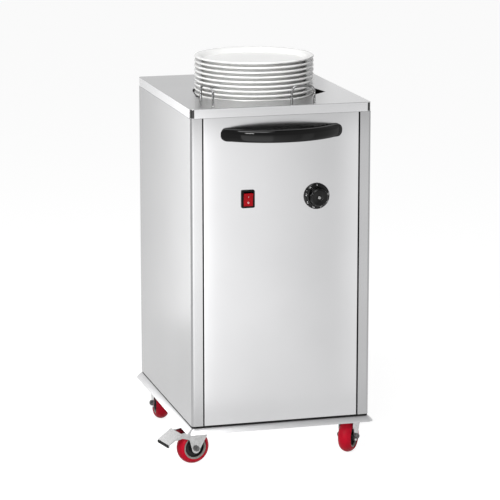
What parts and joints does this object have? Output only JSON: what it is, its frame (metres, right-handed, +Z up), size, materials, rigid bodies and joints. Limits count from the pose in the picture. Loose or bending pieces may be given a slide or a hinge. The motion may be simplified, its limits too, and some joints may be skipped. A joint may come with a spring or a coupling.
{
  "type": "heated plate dispenser",
  "caption": "Stainless steel cabinet on swivel castors with a sprung, heated column of dinner plates, a bow handle, a rocker switch and a thermostat dial.",
  "frame": {"origin": "on the floor, under the middle of the outline", "axes": "+Z up, front and handle towards -Y, +X to the right as seen from the front"},
  "size_m": [0.6022, 0.651, 0.997],
  "materials": {
    "satin_steel": "bright satin stainless steel",
    "inner_steel": "plain stainless steel",
    "zinc": "zinc plated steel",
    "chrome_wire": "polished wire",
    "black_rubber": "matt",
    "black_gloss": "gloss",
    "black_plastic": "matt",
    "rocker_red": "lit red",
    "tyre_red": "red polyurethane",
    "wheel_grey": "cast, satin",
    "white_glaze": "gloss white glaze",
    "white_ceramic": "unglazed",
    "element_steel": "dark sheathed tube",
    "copper": "bare",
    "bush_plastic": "natural acetal",
    "spring_steel": "spring wire",
    "sleeve_black": "sleeved leads"
  },
  "bodies": {
    "cabinet": {"base_tray": "satin_steel", "joint_strip": "black_rubber", "side_panel_left": "satin_steel", "side_panel_right": "satin_steel", "front_panel": "satin_steel", "back_panel": "satin_steel", "back_screws": "zinc", "top_plate": "satin_steel", "top_frame": "inner_steel", "corner_posts": "inner_steel", "plate_well": "inner_steel", "guide_rods": "chrome_wire", "upper_rod_blocks": "inner_steel", "lower_rod_blocks": "inner_steel", "stop_collars": "zinc", "heating_element": "element_steel", "element_posts": "white_ceramic", "heat_shield": "inner_steel", "handle": "black_gloss", "handle_screws": "zinc", "switch_housing": "black_plastic", "thermostat_body": "black_plastic", "sensing_bulb": "copper", "capillary": "copper", "wire_loops": "chrome_wire", "wire_loop_nuts": "zinc", "cable_gland": "black_plastic", "terminal_block": "black_plastic", "wiring": "sleeve_black", "castor_bolts": "zinc", "castor_plate_front_left": "zinc", "castor_plate_front_right": "zinc", "castor_plate_rear_left": "zinc", "castor_plate_rear_right": "zinc"},
    "carriage": {"carriage_arm": "inner_steel", "carriage_bushes": "bush_plastic", "plate_platform": "inner_steel", "tension_springs": "spring_steel"},
    "plates": {"plate_stack": "white_glaze"},
    "rocker": {"rocker": "rocker_red"},
    "knob": {"thermostat_knob": "black_gloss", "thermostat_spindle": "zinc"},
    "swivel_front_left": {"castor_fork_front_left": "zinc", "axle_bolt_front_left": "zinc"},
    "wheel_front_left": {"wheel_core_front_left": "wheel_grey", "wheel_tyre_front_left": "tyre_red"},
    "pedal_front_left": {"brake_pedal_front_left": "zinc"},
    "swivel_front_right": {"castor_fork_front_right": "zinc", "axle_bolt_front_right": "zinc"},
    "wheel_front_right": {"wheel_core_front_right": "wheel_grey", "wheel_tyre_front_right": "tyre_red"},
    "swivel_rear_left": {"castor_fork_rear_left": "zinc", "axle_bolt_rear_left": "zinc"},
    "wheel_rear_left": {"wheel_core_rear_left": "wheel_grey", "wheel_tyre_rear_left": "tyre_red"},
    "swivel_rear_right": {"castor_fork_rear_right": "zinc", "axle_bolt_rear_right": "zinc"},
    "wheel_rear_right": {"wheel_core_rear_right": "wheel_grey", "wheel_tyre_rear_right": "tyre_red"},
    "pedal_rear_right": {"brake_pedal_rear_right": "zinc"}
  },
  "joints": [
    {"name": "carriage_sink", "type": "slide", "parent": "cabinet", "child": "carriage", "axis": [0, 0, -1], "range_m": [0, 0.56], "stiffness_N_per_m": 700, "springref_m": -0.36, "deforming": ["tension_springs"]},
    {"name": "plates_lift", "type": "slide", "parent": "carriage", "child": "plates", "axis": [0, 0, 1], "range_m": [0, 0.3]},
    {"name": "rocker_tip", "type": "hinge", "parent": "cabinet", "child": "rocker", "pos_m": [-0.086, -0.2545, 0.678], "axis": [-1, 0, 0], "range_deg": [0, 18]},
    {"name": "knob_turn", "type": "hinge", "parent": "cabinet", "child": "knob", "pos_m": [0.0895, -0.2585, 0.6765], "axis": [0, 1, 0], "range_deg": [0, 270]},
    {"name": "swivel_front_left_turn", "type": "hinge", "parent": "cabinet", "child": "swivel_front_left", "pos_m": [-0.2, -0.2035, 0.093], "axis": [0, 0, 1], "continuous": true},
    {"name": "wheel_front_left_roll", "type": "hinge", "parent": "swivel_front_left", "child": "wheel_front_left", "pos_m": [-0.21565, -0.20683, 0.0425], "axis": [0.2079, -0.9781, 0], "continuous": true},
    {"name": "pedal_front_left_press", "type": "hinge", "parent": "swivel_front_left", "child": "pedal_front_left", "pos_m": [-0.25575, -0.21535, 0.081], "axis": [0.2079, -0.9781, 0], "range_deg": [0, 12]},
    {"name": "swivel_front_right_turn", "type": "hinge", "parent": "cabinet", "child": "swivel_front_right", "pos_m": [0.2, -0.2035, 0.093], "axis": [0, 0, 1], "continuous": true},
    {"name": "wheel_front_right_roll", "type": "hinge", "parent": "swivel_front_right", "child": "wheel_front_right", "pos_m": [0.19059, -0.21644, 0.0425], "axis": [0.809, -0.5878, 0], "continuous": true},
    {"name": "swivel_rear_left_turn", "type": "hinge", "parent": "cabinet", "child": "swivel_rear_left", "pos_m": [-0.2, 0.2235, 0.093], "axis": [0, 0, 1], "continuous": true},
    {"name": "wheel_rear_left_roll", "type": "hinge", "parent": "swivel_rear_left", "child": "wheel_rear_left", "pos_m": [-0.20056, 0.20751, 0.0425], "axis": [0.9994, -0.0349, 0], "continuous": true},
    {"name": "swivel_rear_right_turn", "type": "hinge", "parent": "cabinet", "child": "swivel_rear_right", "pos_m": [0.2, 0.2235, 0.093], "axis": [0, 0, 1], "continuous": true},
    {"name": "wheel_rear_right_roll", "type": "hinge", "parent": "swivel_rear_right", "child": "wheel_rear_right", "pos_m": [0.21576, 0.22628, 0.0425], "axis": [-0.1736, 0.9848, 0], "continuous": true},
    {"name": "pedal_rear_right_press", "type": "hinge", "parent": "swivel_rear_right", "child": "pedal_rear_right", "pos_m": [0.25613, 0.2334, 0.081], "axis": [-0.1736, 0.9848, 0], "range_deg": [0, 12]}
  ]
}
